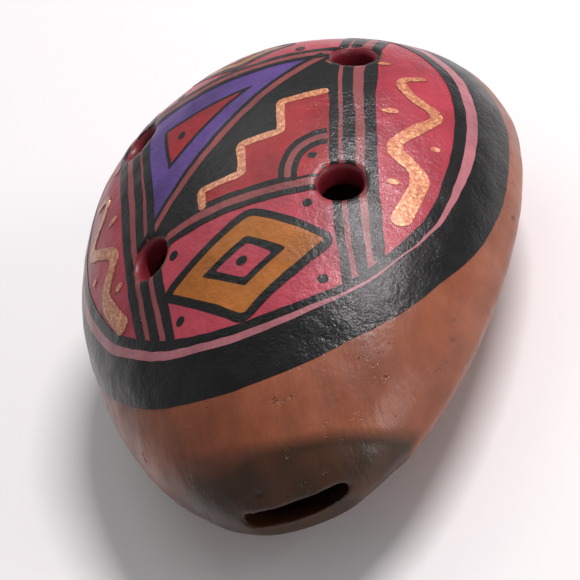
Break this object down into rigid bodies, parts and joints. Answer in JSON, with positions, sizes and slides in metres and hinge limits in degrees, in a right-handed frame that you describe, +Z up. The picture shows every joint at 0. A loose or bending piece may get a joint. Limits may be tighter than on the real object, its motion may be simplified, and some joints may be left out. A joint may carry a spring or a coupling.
{
  "type": "ocarina",
  "caption": "Egg-shaped clay ocarina with a slot mouthpiece, tone holes, a voicing window and a painted dome.",
  "frame": {"origin": "on the resting plane, under the middle of the body's length and width", "axes": "+Z up through the painted dome, +Y from the mouthpiece to the wide far end, +X to the right as seen from the mouthpiece"},
  "size_m": [0.0686, 0.089, 0.0356],
  "materials": {
    "clay": "burnished fired terracotta under clear varnish",
    "slip_clay": "smoothed slip, same clay as the body",
    "black_paint": "black slip paint under gloss varnish",
    "crimson_paint": "crimson paint under gloss varnish",
    "pink_paint": "dusty pink paint under gloss varnish",
    "brown_pink_paint": "brown-pink paint under gloss varnish",
    "purple_paint": "violet paint under gloss varnish",
    "ochre_paint": "ochre paint under gloss varnish",
    "gold_paint": "grainy raised metallic gold-orange paint"
  },
  "bodies": {
    "root": {"upper_shell": "clay", "lower_shell": "clay", "windway_roof_block": "clay", "windway_floor_block": "clay", "slip_joint": "slip_clay", "black_band": "black_paint", "pink_ring": "pink_paint", "black_ring_line": "black_paint", "left_crimson_panel": "crimson_paint", "right_crimson_panel": "crimson_paint", "black_column_lines": "black_paint", "pink_column_stripes": "brown_pink_paint", "black_cross_lines": "black_paint", "pink_cross_stripes": "pink_paint", "near_panel_ground": "crimson_paint", "near_ochre_diamond": "ochre_paint", "near_diamond_outlines": "black_paint", "near_diamond_heart": "pink_paint", "far_panel_ground": "crimson_paint", "far_ochre_diamond": "ochre_paint", "far_diamond_outlines": "black_paint", "far_diamond_heart": "pink_paint", "purple_triangle": "purple_paint", "red_triangle": "crimson_paint", "red_triangle_outline": "black_paint", "diagonal_stripe": "brown_pink_paint", "diagonal_line": "black_paint", "black_step_field": "black_paint", "crimson_step_pyramid": "crimson_paint", "black_corner_arcs": "black_paint", "pink_corner_arc": "brown_pink_paint", "crimson_corner": "crimson_paint", "left_gold_zigzag": "gold_paint", "right_gold_zigzag": "gold_paint", "gold_step_edging": "gold_paint"}
  },
  "joints": []
}
